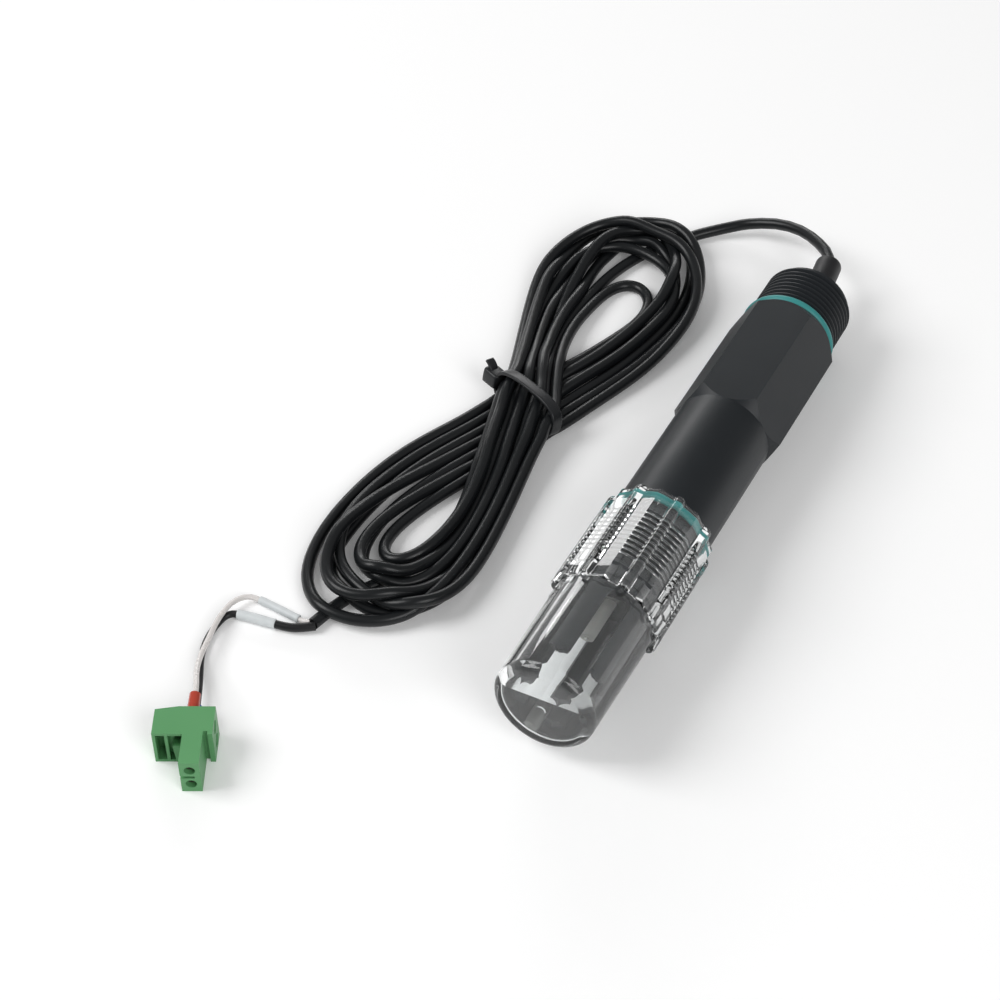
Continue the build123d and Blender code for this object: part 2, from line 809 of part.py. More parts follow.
# One contact, rising clamp and screw in each pole
for pole, height in enumerate(pole_heights, start=1):
    with BuildPart() as contact:
        with BuildSketch(plug_section(cavity_end)):
            with Locations((socket_across, height)):
                Circle(contact_r)
        extrude(amount=plug_reach - contact_mouth - cavity_end)
        with BuildSketch(plug_section(cavity_end + contact_r)):
            with Locations((socket_across, height)):
                Circle(contact_bore_r)
        extrude(amount=plug_reach, mode=Mode.SUBTRACT)
        with BuildSketch(plug_section(cavity_end)):
            with Locations((tongue_bottom + tongue_thickness / 2, height)):
                Rectangle(tongue_thickness, tongue_width)
        extrude(amount=-(cavity_end - cage_start))
    save(contact, f"contact_{pole}")

    with BuildPart() as clamp_cage:
        with BuildSketch(plug_section(cage_start)):
            with Locations((cage_bottom + cage_span / 2, height)):
                Rectangle(cage_span, cage_height)
                Rectangle(cage_span - 2 * cage_wall, cage_height - 2 * cage_wall, mode=Mode.SUBTRACT)
        extrude(amount=cage_depth)
        with BuildSketch(side_section(cage_top)):
            with Locations((-cage_middle, height)):
                Circle(screw_shank_r + fit_gap)
        extrude(amount=-cage_wall, mode=Mode.SUBTRACT)
    save(clamp_cage, f"clamp_cage_{pole}")

    with BuildPart() as clamp_screw:
        with BuildSketch(side_section(tongue_top + fit_gap)):
            with Locations((-cage_middle, height)):
                Circle(screw_shank_r)
        extrude(amount=head_seat - tongue_top - fit_gap)
        with BuildSketch(side_section(head_seat)):
            with Locations((-cage_middle, height)):
                Circle(screw_head_r)
        extrude(amount=screw_head_height)
        with BuildSketch(side_section(head_seat + screw_head_height)):
            with Locations((-cage_middle, height)):
                Rectangle(2 * screw_head_r, screw_slot_width, rotation=screw_slot_turn * pole)
        extrude(amount=-screw_slot_depth, mode=Mode.SUBTRACT)
    save(clamp_screw, f"clamp_screw_{pole}")
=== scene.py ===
import bmesh
import bpy
import numpy as np
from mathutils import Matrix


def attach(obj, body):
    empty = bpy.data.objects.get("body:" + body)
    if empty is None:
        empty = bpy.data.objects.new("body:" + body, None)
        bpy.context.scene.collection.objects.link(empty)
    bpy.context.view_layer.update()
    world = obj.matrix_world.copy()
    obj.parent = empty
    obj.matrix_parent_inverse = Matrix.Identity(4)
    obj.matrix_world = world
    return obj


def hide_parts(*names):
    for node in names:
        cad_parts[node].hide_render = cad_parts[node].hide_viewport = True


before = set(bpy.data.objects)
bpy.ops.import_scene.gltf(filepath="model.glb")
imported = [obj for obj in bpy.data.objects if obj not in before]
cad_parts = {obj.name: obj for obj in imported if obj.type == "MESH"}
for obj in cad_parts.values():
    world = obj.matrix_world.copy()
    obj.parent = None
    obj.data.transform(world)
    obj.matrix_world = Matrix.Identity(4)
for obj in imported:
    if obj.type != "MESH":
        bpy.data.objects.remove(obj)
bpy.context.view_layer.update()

# Camera: it stands above the cap's end and looks along the probe, as the photograph does.
# Its lens and place were worked out from the cap's end circle, the hexagon and the thread.
camera_data = bpy.data.cameras.new("camera")
camera_data.lens = 86.567
camera_data.sensor_width = 36.0
camera = bpy.data.objects.new("camera", camera_data)
camera_stand = np.eye(4)
camera_stand[:3, 0] = 0.89210, 0.45172, -0.01071
camera_stand[:3, 1] = -0.31103, 0.63110, 0.71062
camera_stand[:3, 2] = 0.32776, -0.63061, 0.70350
camera_stand[:3, 3] = 0.168664, -0.443677, 0.470181
camera.matrix_world = camera_stand.T.tolist()
bpy.context.collection.objects.link(camera)
bpy.context.scene.camera = camera


# Floor: a wide sheet of matt white paper under the whole kit.
# It keeps the soft shadows of the probe and the cable.
class Wire:
    """A link between shader nodes. A sum or product adds a Math node, and node() any other node."""

    def __init__(self, tree, socket=None):
        self.tree, self.socket = tree, socket

    def node(self, kind, inputs=None, out=0, **settings):
        made = self.tree.nodes.new("ShaderNode" + kind)
        for name, value in settings.items():
            setattr(made, name, value)
        for name, value in (inputs or {}).items():
            if isinstance(value, Wire):
                self.tree.links.new(value.socket, made.inputs[name])
            else:
                made.inputs[name].default_value = value
        return Wire(self.tree, made.outputs[out])

    def sum(self, kind, first, second):
        return self.node("Math", {0: first, 1: second}, operation=kind)

    def __add__(self, other):
        return self.sum("ADD", self, other)

    def __mul__(self, other):
        return self.sum("MULTIPLY", self, other)


def finish(name, surface):
    """A material whose surface shader is what the given function returns."""
    material = bpy.data.materials.new(name)
    material.use_nodes = True
    material.node_tree.nodes.clear()
    end = material.node_tree.nodes.new("ShaderNodeOutputMaterial")
    material.node_tree.links.new(surface(Wire(material.node_tree)).socket, end.inputs["Surface"])
    return material


def skin(name, points, material, closed_across=False, closed_along=False):
    """A sheet of quads over a grid of points. Rows run along the piece and columns across it.
    Points that fall together are joined, and the faces of a closed piece look outwards."""
    rows, columns = points.shape[:2]
    place = np.arange(rows * columns).reshape(rows, columns)
    if closed_across:
        place = np.concatenate([place, place[:, :1]], axis=1)
    if closed_along:
        place = np.concatenate([place, place[:1]], axis=0)
    quads = np.stack([place[:-1, :-1], place[:-1, 1:], place[1:, 1:], place[1:, :-1]], axis=-1)
    down, over = np.meshgrid(*(np.arange(n - 1) for n in place.shape), indexing="ij")
    corners = np.stack([over, down, over + 1, down, over + 1, down + 1, over, down + 1], axis=-1)
    mesh = bpy.data.meshes.new(name)
    mesh.from_pydata(points.reshape(-1, 3).tolist(), [], quads.reshape(-1, 4).tolist())
    sheet = corners.reshape(-1, 2) / (place.shape[1] - 1, place.shape[0] - 1)
    mesh.uv_layers.new(name="sheet").uv.foreach_set("vector", sheet.ravel())
    work = bmesh.new()
    work.from_mesh(mesh)
    bmesh.ops.remove_doubles(work, verts=work.verts, dist=1e-7)
    bmesh.ops.recalc_face_normals(work, faces=work.faces)
    work.to_mesh(mesh)
    work.free()
    mesh.shade_smooth()
    mesh.materials.append(material)
    piece = bpy.data.objects.new(name, mesh)
    bpy.context.collection.objects.link(piece)
    return piece


floor_half = 3.0
floor_points = [[(x, y, 0.0) for x in (-floor_half, floor_half)] for y in (-floor_half, floor_half)]


def paper_surface(w):
    """Matt paper. It glows faintly where it is seen, so it looks white and its shadows stay."""
    grain = w.node("TexNoise", {"Vector": w.node("TexCoord", out="Object"), "Scale": 900.0})
    bump = w.node("Bump", {"Strength": 0.02, "Distance": 0.0001, "Height": grain})
    rays = ("Is Camera Ray", "Is Glossy Ray", "Is Transmission Ray")
    camera_ray, glossy_ray, transmission_ray = (w.node("LightPath", out=ray) for ray in rays)
    return w.node("BsdfPrincipled", {
        "Base Color": (0.93, 0.93, 0.93, 1),
        "Roughness": 1.0,
        "Specular IOR Level": 0.0,
        "Normal": bump,
        "Emission Color": camera_ray + glossy_ray + transmission_ray,
        "Emission Strength": 0.09,
    })


skin("floor", np.array(floor_points), finish("paper", paper_surface))

# Light: two soft boxes on the camera's side of the table, a low strip behind it, and a pale room.
# The strip draws the thin highlights along the cable, and the top of the hexagon stays dark.
# The room looks white to the camera and through glass, and is dimmer as a light.
lamps = (
    ("key", (-1.15, -0.55, 1.15), (0.9, 0.9), 17.0),
    ("side", (1.15, -0.75, 1.0), (0.9, 0.9), 12.0),
    ("strip", (-0.9, 1.3, 0.55), (1.1, 0.25), 6.0),
)
for lamp_name, stand, lamp_size, power in lamps:
    lamp = bpy.data.lights.new(lamp_name, "AREA")
    lamp.shape = "RECTANGLE"
    lamp.size, lamp.size_y = lamp_size
    lamp.energy = power
    lamp_stand = bpy.data.objects.new(lamp_name, lamp)
    away = np.array(stand) / np.linalg.norm(stand)
    level = np.cross((0, 0, 1), away) / np.linalg.norm(np.cross((0, 0, 1), away))
    turned = np.eye(4)
    turned[:3, :3] = np.stack([level, np.cross(away, level), away], axis=1)
    turned[:3, 3] = stand
    lamp_stand.matrix_world = turned.T.tolist()
    bpy.context.collection.objects.link(lamp_stand)
room = bpy.data.worlds.new("room")
room.use_nodes = True
room.node_tree.nodes.clear()
sky = Wire(room.node_tree)
room_light = sky.node("MixShader", {
    0: sky.node("LightPath", out="Is Camera Ray") + sky.node("LightPath", out="Is Transmission Ray"),
    1: sky.node("Background", {"Color": (1, 1, 1, 1), "Strength": 0.32}),
    2: sky.node("Background", {"Color": (1, 1, 1, 1), "Strength": 1.0}),
})
room_end = room.node_tree.nodes.new("ShaderNodeOutputWorld")
room.node_tree.links.new(room_light.socket, room_end.inputs["Surface"])
bpy.context.scene.world = room
bpy.context.scene.view_settings.view_transform = "Standard"


# Probe body: one dark moulding with the guard, both pipe threads, the barrel and the hexagon.
# It is satin plastic with a fine spark grain and a few rubbed places.
def mixed(w, share, first, second):
    """A colour between two others by a share from 0 to 1."""
    return w.node("Mix", {0: share, 6: (*first, 1), 7: (*second, 1)}, out=2, data_type="RGBA")


def moulded(dark, light, rough, grain, depth, coat=0.0):
    """Surface of a moulded plastic or rubber: two near colours in soft clouds, a roughness that
    follows the same clouds, and a fine grain of the given scale and depth in the normal."""

    def surface(w):
        spot = w.node("TexCoord", out="Object")
        clouds = w.node("TexNoise", {"Vector": spot, "Scale": 55.0, "Detail": 4.0})
        fine = w.node("TexNoise", {"Vector": spot, "Scale": grain, "Detail": 2.0})
        return w.node("BsdfPrincipled", {
            "Base Color": mixed(w, clouds, dark, light),
            "Roughness": clouds * 0.16 + (rough - 0.08),
            "Specular IOR Level": 0.3,
            "Coat Weight": coat,
            "Coat Roughness": 0.15,
            "Normal": w.node("Bump", {"Strength": 0.25, "Distance": depth, "Height": fine}),
        })

    return surface


def coat(material, *names):
    """Gives the carried-over pieces of these names one material in all their slots."""
    for name in names:
        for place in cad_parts[name].material_slots:
            place.material = material


coat(finish("body", moulded((0.008, 0.010, 0.012), (0.014, 0.017, 0.020), 0.40, 1500.0, 0.00004)),
     "body_shell")

# O-rings: teal rubber cord, one under the cap's collar and one behind the hexagon.
# They are smooth, with a faint bloom.
coat(finish("o_ring", moulded((0.030, 0.22, 0.22), (0.045, 0.27, 0.26), 0.40, 2500.0, 0.00002)),
     "front_o_ring", "rear_o_ring")

# Electrode plug: a dark insert behind the guard, pressed into the front wall of the body.
# It carries the frosted stem and two porous ceramic frits, which let the salt out.
coat(finish("electrode_plug", moulded((0.016, 0.018, 0.021), (0.026, 0.028, 0.032), 0.5, 1200.0, 0.00005)),
     "electrode_plug")


def ceramic_surface(w):
    spot = w.node("TexCoord", out="Object")
    pores = w.node("TexVoronoi", {"Vector": spot, "Scale": 5000.0})
    return w.node("BsdfPrincipled", {
        "Base Color": mixed(w, pores, (0.55, 0.54, 0.50), (0.74, 0.73, 0.70)),
        "Roughness": 0.85,
        "Normal": w.node("Bump", {"Strength": 0.5, "Distance": 0.0001, "Height": pores}),
    })


coat(finish("ceramic", ceramic_surface), "reference_frits")


# Sensing stem: a drawn glass tube, ground to a frost outside, with the platinum pin in its tip.
# A silver lead runs back through it to the cable.
def frosted_surface(w):
    frost = w.node("TexNoise", {"Vector": w.node("TexCoord", out="Object"), "Scale": 3000.0, "Detail": 3.0})
    return w.node("BsdfPrincipled", {
        "Base Color": mixed(w, frost, (0.62, 0.61, 0.57), (0.80, 0.79, 0.75)),
        "Roughness": frost * 0.2 + 0.35,
        "Transmission Weight": 0.25,
        "IOR": 1.47,
        "Normal": w.node("Bump", {"Strength": 0.3, "Distance": 0.00005, "Height": frost}),
    })


def drawn_metal(colour, rough, streaks):
    """Surface of drawn or plated metal: fine streaks in its roughness and its normal."""

    def surface(w):
        spot = w.node("TexCoord", out="Object")
        drawn = w.node("TexNoise", {"Vector": spot, "Scale": streaks, "Detail": 3.0})
        return w.node("BsdfPrincipled", {
            "Base Color": mixed(w, drawn, tuple(0.85 * c for c in colour), colour),
            "Metallic": 1.0,
            "Roughness": drawn * 0.15 + rough,
            "Normal": w.node("Bump", {"Strength": 0.1, "Distance": 0.00003, "Height": drawn}),
        })

    return surface


coat(finish("stem_glass", frosted_surface), "sensing_stem")
coat(finish("platinum", drawn_metal((0.72, 0.71, 0.68), 0.18, 4000.0)), "platinum_pin")
coat(finish("silver", drawn_metal((0.86, 0.85, 0.82), 0.22, 4000.0)), "sensing_lead", "reference_wire")


# Reference gel: a clear salt gel around the reference wire, closed by a soft disc.
# Cast resin fills the rear of the body behind them.
def gel_surface(w):
    clouds = w.node("TexNoise", {"Vector": w.node("TexCoord", out="Object"), "Scale": 120.0})
    return w.node("BsdfPrincipled", {
        "Base Color": mixed(w, clouds, (0.70, 0.76, 0.78), (0.82, 0.86, 0.87)),
        "Roughness": clouds * 0.1 + 0.12,
        "Transmission Weight": 0.7,
        "IOR": 1.36,
    })


coat(finish("gel", gel_surface), "reference_gel")
coat(finish("seal", moulded((0.20, 0.20, 0.20), (0.28, 0.28, 0.28), 0.7, 1800.0, 0.00004)), "gel_seal")
coat(finish("potting", moulded((0.010, 0.010, 0.011), (0.018, 0.018, 0.020), 0.25, 300.0, 0.00002)),
     "rear_potting")


# Storage cap: one clear moulding with a ribbed collar that screws on to the front thread.
# It is polished polystyrene with faint flow marks, and the thread shows inside its collar.
shoulder_y, shoulder_height = -0.0286415, 0.015932
lie_sine, lie_cosine = 0.024404, 0.999702


def round_probe(station, radius, turn, upright=None):
    """Points about the probe's axis: a station along it, a distance from it and an angle round it.
    A height above the axis may take the place of the one that the angle gives."""
    shoulder = np.array([0, shoulder_y, shoulder_height])
    along, up = np.array([0, lie_cosine, -lie_sine]), np.array([0, lie_sine, lie_cosine])
    height = radius * np.sin(turn) if upright is None else upright
    aside = (radius * np.cos(turn))[..., None] * np.array([1.0, 0, 0])
    return shoulder + station[..., None] * along + aside + height[..., None] * up


def clear_surface(w):
    flow = w.node("TexNoise", {"Vector": w.node("TexCoord", out="Object"), "Scale": 90.0, "Detail": 1.0})
    return w.node("BsdfPrincipled", {
        "Base Color": (0.965, 0.975, 0.975, 1),
        "Roughness": 0.012,
        "Transmission Weight": 1.0,
        "IOR": 1.5,
        "Normal": w.node("Bump", {"Strength": 0.08, "Distance": 0.0002, "Height": flow}),
    })


def corner(station, radius, size, start, stop, steps=7):
    """Rows of a rounded corner: its centre's station and radius, its size, and its two angles."""
    swing = np.radians(np.linspace(start, stop, steps))
    return np.stack([station + size * np.cos(swing), radius + size * np.sin(swing)], axis=1)


cap_end = -70.4
collar_start, thread_start, collar_end = cap_end + 35.1, cap_end + 46.35, cap_end + 71.1
outside = np.concatenate([
    [(cap_end - 0.3, 0.0), (cap_end - 0.3, 1.1), (cap_end - 0.22, 1.2), (cap_end, 1.25), (cap_end, 6.0)],
    corner(cap_end + 2.5, 11.35, 2.5, 180, 90, 12),
    [(cap_end + 12, 13.95), (cap_end + 24, 14.08), (collar_start - 0.5, 14.2)],
    [(collar_start - 0.1, 14.22), (collar_start, 14.3)],
])
collar_rows = np.array([0.0, 0.0, 0.35, 0.8, 6.0, 12.0, 18.0, 24.0, 30.0, 34.9, 35.5, 35.9]) + collar_start
collar_shrink = np.array([0.93, 0.97, 0.99, 1, 1, 1, 1, 1, 1, 1, 0.992, 0.975])
thread_turns, thread_pitch, collar_bore = 10, 1.814, 13.4
ridge_flank, ridge_flat, ridge_edge, ridge_top = 0.62, 0.14, 12.72, 12.62
ridge_steps = np.array([-ridge_flank, -ridge_flat, 0, ridge_flat, ridge_flank])
ridges = np.arange(thread_turns)[:, None] * thread_pitch + thread_start
ridge_rows = np.stack([
    (ridges + ridge_steps).ravel(),
    np.tile([collar_bore, ridge_edge, ridge_top, ridge_edge, collar_bore], thread_turns),
], axis=1)[::-1]
inside = np.concatenate([
    [(collar_end, 14.35), (collar_end - 0.4, 13.95), (collar_end - 4.1, 13.85)],
    [(collar_end - 4.9, collar_bore)],
    ridge_rows,
    [(cap_end + 44.0, collar_bore), (cap_end + 42.2, 13.3), (cap_end + 41.5, 12.45)],
    [(cap_end + 30, 12.4), (cap_end + 15, 12.2)],
    corner(cap_end + 4.2, 9.85, 2.2, 90, 180, 10),
    [(cap_end + 2.0, 6.0), (cap_end + 2.0, 0.0)],
])
ribs, rib_radius, collar_radius, cap_columns = 8, 1.6, 15.5, 320
cap_turn = np.linspace(0, 2 * np.pi, cap_columns, endpoint=False)
rib_gap = 2 * np.pi / ribs
rib_swing = (cap_turn + rib_gap / 2) % rib_gap - rib_gap / 2
collar_flat = collar_radius * np.cos(rib_gap / 2)
octagon = collar_flat / np.cos(rib_swing)
rib_reach = np.clip(rib_radius**2 - (collar_flat * np.sin(rib_swing)) ** 2, 0, None)
ribbed = np.maximum(octagon, collar_flat * np.cos(rib_swing) + np.sqrt(rib_reach))


def round_cap(stations, radii):
    """Rows of points round the cap at stations and radii in millimetres. The radii are one for
    each row, or one for each row and angle."""
    flat = 0 * cap_turn
    return round_probe(stations[:, None] / 1000 + flat, radii / 1000 + flat, cap_turn + rib_gap / 2)


cap_points = np.concatenate([
    round_cap(outside[:, 0], outside[:, 1:]),
    round_cap(collar_rows, collar_shrink[:, None] * ribbed),
    round_cap(inside[:, 0], inside[:, 1:]),
])
cap = skin("cap", cap_points, finish("clear_cap", clear_surface), closed_across=True)
cap.data.set_sharp_from_angle(angle=np.radians(35))
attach(cap, "cap")
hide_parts("protective_cap")


# Storage solution: clear salt water that wets the cap's wall, the guard and the stem.
# It stands level in the lying cap, a little above the probe's axis.
def water_surface(w):
    return w.node("BsdfPrincipled", {
        "Base Color": (0.93, 0.945, 0.945, 1),
        "Roughness": 0.0,
        "Transmission Weight": 1.0,
        "IOR": 1.333,
    })


pool_start, pool_end = cap_end + 1.97, cap_end + 39.4
wetted = np.concatenate([
    [(pool_start, 0.0), (pool_start, 3.0), (pool_start, 6.0)],
    corner(cap_end + 4.2, 9.85, 2.23, 180, 90, 10),
    [(cap_end + 15, 12.23), (cap_end + 30, 12.43), (pool_end, 12.44), (pool_end, 6.0), (pool_end, 0.0)],
]) / 1000
water_level = 0.0201501
pool_turn = np.linspace(0, 2 * np.pi, 128, endpoint=False)
above_axis = (water_level - (shoulder_height - lie_sine * wetted[:, :1])) / lie_cosine
pool_height = np.minimum(wetted[:, 1:] * np.sin(pool_turn), above_axis)
flat_pool = 0 * pool_turn
pool_points = round_probe(wetted[:, :1] + flat_pool, wetted[:, 1:] + flat_pool, pool_turn, pool_height)
water = skin("water", pool_points, finish("solution", water_surface), closed_across=True)
water.data.set_sharp_from_angle(angle=np.radians(35))
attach(water, "solution")
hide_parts("storage_solution")


# Cable: one dark jacketed cord, from the strain relief through the hank to its cut end.
# The hank was wound by hand in about seven and a half turns, which cross at the tied waist.
def mm(points):
    """Points in millimetres as an array in metres."""
    return np.array(points, float) / 1000


cable_r = 0.00172
row_shift = np.array([0.0, -0.0008])
upper_outer_edge = mm([
    (-57, 109.7), (-66, 107.5), (-75.5, 103), (-81.5, 90), (-82.5, 73), (-79.5, 56), (-73, 34), (-69.6, 23),
    (-69.2, 16.4), (-64, -4), (-59, -25), (-57.2, -38), (-57.4, -44), (-58.6, -49.5), (-61, -53.5),
    (-64.2, -54.6), (-66.8, -51.5), (-66.8, -43), (-63.5, -31), (-57, -14), (-51, -2), (-47.2, 6.8),
    (-43.5, 20), (-40, 30), (-34.5, 47), (-31.8, 70), (-34, 86), (-44, 104),
]) + row_shift
lower_outer_edge = mm([
    (-54, 77), (-57, 76.5), (-59, 74.5), (-60.5, 70), (-61.5, 62), (-62.3, 53), (-60, 38), (-55, 24),
    (-47.2, 6.8), (-46.5, -5), (-43.8, -25), (-41.8, -47), (-42.5, -62), (-47, -76), (-58, -83.2), (-72, -82),
    (-83, -74), (-88.5, -58), (-88.5, -38), (-84, -18), (-75, 2), (-69.2, 16.4), (-63.5, 27), (-57, 37),
    (-52, 49), (-47, 64), (-47.5, 71), (-50, 75),
]) + row_shift
# Both edges have the same stations: down the left leg, round the lower end and back up. A turn's
# place runs from 0 at the first edge to 1 at the other, and its height is in millimetres.
upper_place = [0.80, 0.34, 0.0, 0.97, 0.22, 0.62, 0.05, 0.46]
upper_height = [0.0, 0.0, 0.0, 0.0, 3.4, 3.4, 3.6, 5.6]
left_place = np.array([6, 3, 5, 7, 4, 2, 1, 0]) / 7
lower_place = [0.80, 0.40, 1.0, 0.60, 0.90, 0.48, 0.16, 0.0]
lower_height = [0.0, 0.0, 0.0, 0.0, 3.4, 3.4, 1.0, 0.0]
right_place = np.array([4, 2, 6, 5, 3, 1, 0, 0]) / 6
stations = np.arange(len(upper_outer_edge))
waist_stations, waist_climb = [3, 5, 6, 7, 8, 9, 10, 11, 13], [0, 0.8, 2.4, 4.0, 4.7, 4.0, 2.4, 0.8, 0]
climb = np.interp(stations, waist_stations, waist_climb)
band = lower_outer_edge - upper_outer_edge
band_width = np.linalg.norm(band, axis=1)
turns, first_station, last_station, second_layer = 8, 4, 13, 1.6
route = []
for turn in range(turns):
    after = min(turn + 1, turns - 1)
    place = np.interp(stations, [0, 4, 12, 15, 19, 25, 28], [
        upper_place[turn], left_place[turn], left_place[turn], lower_place[turn],
        right_place[turn], right_place[turn], upper_place[after],
    ])
    lift = np.interp(stations, [0, 5, 11, 15, 18, 23, 28], [
        upper_height[turn], 0, 0, lower_height[turn], 0, 0, upper_height[after],
    ])
    lift = lift + climb + np.where(np.round(place * 7) % 2 == 1, second_layer, 0)
    share = ((cable_r + place * (band_width - 2 * cable_r)) / band_width)[:, None]
    turn_points = np.column_stack([upper_outer_edge + band * share, cable_r + lift / 1000])
    start = first_station if turn == 0 else 0
    route.append(turn_points[start:last_station if turn == turns - 1 else len(stations)])
lead = mm([
    (-34.5, 116.6, 4.5), (-42.6, 112.2, 2.5), (-49.3, 106.0, 1.8), (-55.5, 98.0, 1.75),
    (-60.5, 88.0, 1.75), (-64.0, 77.0, 1.75),
])
tail = mm([(-59.5, -60.5, 1.75), (-65.5, -67.5, 1.75), (-69.8, -74.3, 1.75), (-71.0, -79.8, 1.75)])
route = np.concatenate([lead, *route, tail])


def smooth_line(points, step):
    """Points an even step apart along a smooth curve through the given ones. The curve's slope at
    a point is half the way from the point before it to the one after it."""
    before = np.concatenate([2 * points[:1] - points[1:2], points[:-1]])
    after = np.concatenate([points[1:], 2 * points[-1:] - points[-2:-1]])
    slope = (after - before) / 2
    t = np.linspace(0, 1, 24, endpoint=False)[:, None, None]
    a, b = points[:-1], points[1:]
    m, n = slope[:-1], slope[1:]
    fine = a * (2 * t**3 - 3 * t**2 + 1) + b * (3 * t**2 - 2 * t**3)
    fine = fine + m * (t**3 - 2 * t**2 + t) + n * (t**3 - t**2)
    fine = np.concatenate([fine.transpose(1, 0, 2).reshape(-1, 3), points[-1:]])
    run = np.concatenate([[0], np.cumsum(np.linalg.norm(np.diff(fine, axis=0), axis=1))])
    even = np.linspace(0, run[-1], int(run[-1] / step) + 1)
    return np.stack([np.interp(even, run, fine[:, axis]) for axis in range(3)], axis=1)


def relaxed(points, passes):
    """Each point moved half way to the middle of its neighbours, a few times over, ends held."""
    for _ in range(passes):
        points = points.copy()
        points[1:-1] += (points[:-2] + points[2:] - 2 * points[1:-1]) / 4
    return points


tie_centre = np.array([-0.0582, 0.0108])
tie_side = np.array([0.91706, -0.39875])
tie_along = np.array([-tie_side[1], tie_side[0]])
waist_half, tie_low, tie_high = 0.012, 0.0011, 0.0111
tie_mouth, tie_reach, tie_aside = 0.002, 0.012, 0.02
line = relaxed(smooth_line(route, 0.0033), 6)
rest = line.copy()
bend_rest = (rest[:-2] + rest[2:]) / 2 - rest[1:-1]
bend_rest[:, 2] = 0
held = np.zeros(len(line))
held[:6] = held[-6:] = 1
gap = 2 * cable_r * 1.01
steps, settling_steps, bend_share, home_share, sink = 300, 280, 0.4, 0.015, 0.00005
# The cable settles: it bends back towards its drawn curve and sinks under its weight, turns that
# are nearer than a diameter push each other apart, and the tie holds them together at the waist.
for step in range(steps):
    if step % 6 == 0:
        near = np.linalg.norm(line[:, None] - line[None], axis=2) < gap * 2.2
        first, second = np.nonzero(np.triu(near, 5))
    settling = step < settling_steps
    if settling:
        for _ in range(5):
            line[1:-1] += ((line[:-2] + line[2:]) / 2 - line[1:-1] - bend_rest) * bend_share
        line[:, :2] += (rest[:, :2] - line[:, :2]) * home_share
        line[:, 2] -= sink
    for _ in range(2 if settling else 3):
        apart = line[first] - line[second]
        far = np.linalg.norm(apart, axis=1)
        push = np.clip(gap - far, 0, None) / 2
        shove = apart / np.maximum(far, 1e-9)[:, None] * push[:, None]
        shove[:, 2] += np.where(push > 0, np.sign(apart[:, 2] + 1e-9) * push * 0.5, 0)
        move = np.zeros_like(line)
        hits = np.zeros(len(line))
        np.add.at(move, first, shove)
        np.add.at(move, second, -shove)
        np.add.at(hits, first, push > 0)
        np.add.at(hits, second, push > 0)
        line += relaxed(move / np.maximum(hits, 1)[:, None], 2 if settling else 1) * 1.4
        from_tie = line[:, :2] - tie_centre
        side, depth = from_tie @ tie_side, np.abs(from_tie @ tie_along)
        funnel = np.clip(depth - tie_mouth, 0, None)
        half = waist_half - cable_r + funnel * 0.9
        over = np.clip(np.abs(side) - half, 0, None) * np.sign(side) * (depth < tie_reach)
        line[:, :2] -= over[:, None] * tie_side
        beside = np.abs(side) < tie_aside
        line[:, 2] = np.maximum(line[:, 2], np.clip(tie_low - funnel * 0.3, 0, None) * beside + cable_r)
        roof = np.where(beside & (depth < tie_reach), tie_high - cable_r + funnel * 0.6, 1.0)
        line[:, 2] = np.minimum(line[:, 2], roof)
    line = line * (1 - held[:, None]) + rest * held[:, None]

cable_route = np.concatenate([
    mm([(-1.15, 98.2, 12.83), (-1.9, 102.4, 12.72), (-7.9, 108.9, 11.6), (-16.0, 114.7, 9.9)]),
    mm([(-25.4, 117.6, 7.3)]),
    line,
    mm([(-72.0, -83.6, 1.7), (-72.9, -87.0, 1.7)]),
])


def cord(name, points, radius, resolution=2):
    """Round cord on a smooth spline through the control points, in metres."""
    curve = bpy.data.curves.new(name, "CURVE")
    curve.dimensions = "3D"
    spline = curve.splines.new("NURBS")
    spline.points.add(len(points) - 1)
    spline.points.foreach_set("co", np.column_stack([points, np.ones(len(points))]).ravel())
    spline.order_u = 3
    spline.use_endpoint_u = True
    curve.resolution_u = resolution
    curve.bevel_depth = radius
    curve.bevel_resolution = 3
    curve.use_fill_caps = True
    piece = bpy.data.objects.new(name, curve)
    bpy.context.collection.objects.link(piece)
    return piece


cable = cord("cable", cable_route, cable_r)
cable_length = np.linalg.norm(np.diff(cable_route, axis=0), axis=1).sum()


def jacket_surface(w):
    spot = w.node("TexCoord", out="Object")
    grain = w.node("TexNoise", {"Vector": spot, "Scale": 700.0, "Detail": 3.0})
    bump = w.node("Bump", {"Strength": 0.08, "Distance": 0.0002, "Height": grain})
    return w.node("BsdfPrincipled", {
        "Base Color": (0.007, 0.008, 0.009, 1),
        "Roughness": grain * 0.12 + 0.26,
        "Specular IOR Level": 0.3,
        "Normal": bump,
    })


cable.data.materials.append(finish("jacket", jacket_surface))
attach(cable, "probe")
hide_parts("cable_lead", "cable_hank", "cable_tail")


# Strain relief: a soft moulded sleeve, potted into the rear of the body, with a rounded mouth.
# It leans a little with the cable, and has a fine grain.
def rings_along(path, at, radius, columns=32):
    """Circles round a line: one at each distance along it, of the radius given there.
    A circle's first axis lies level, and its second stands upright to the line."""
    run = np.concatenate([[0], np.cumsum(np.linalg.norm(np.diff(path, axis=0), axis=1))])

    def place(distance):
        return np.stack([np.interp(distance, run, path[:, axis]) for axis in range(3)], axis=1)

    reach = 0.0006
    along = place(np.clip(at + reach, 0, run[-1])) - place(np.clip(at - reach, 0, run[-1]))
    along /= np.linalg.norm(along, axis=1)[:, None]
    side = np.cross(along, (0, 0, 1))
    side /= np.linalg.norm(side, axis=1)[:, None]
    stand = np.cross(side, along)
    turn = np.linspace(0, 2 * np.pi, columns, endpoint=False)[None, :, None]
    ring = np.cos(turn) * side[:, None] + np.sin(turn) * stand[:, None]
    return place(at)[:, None] + radius[:, None, None] * ring


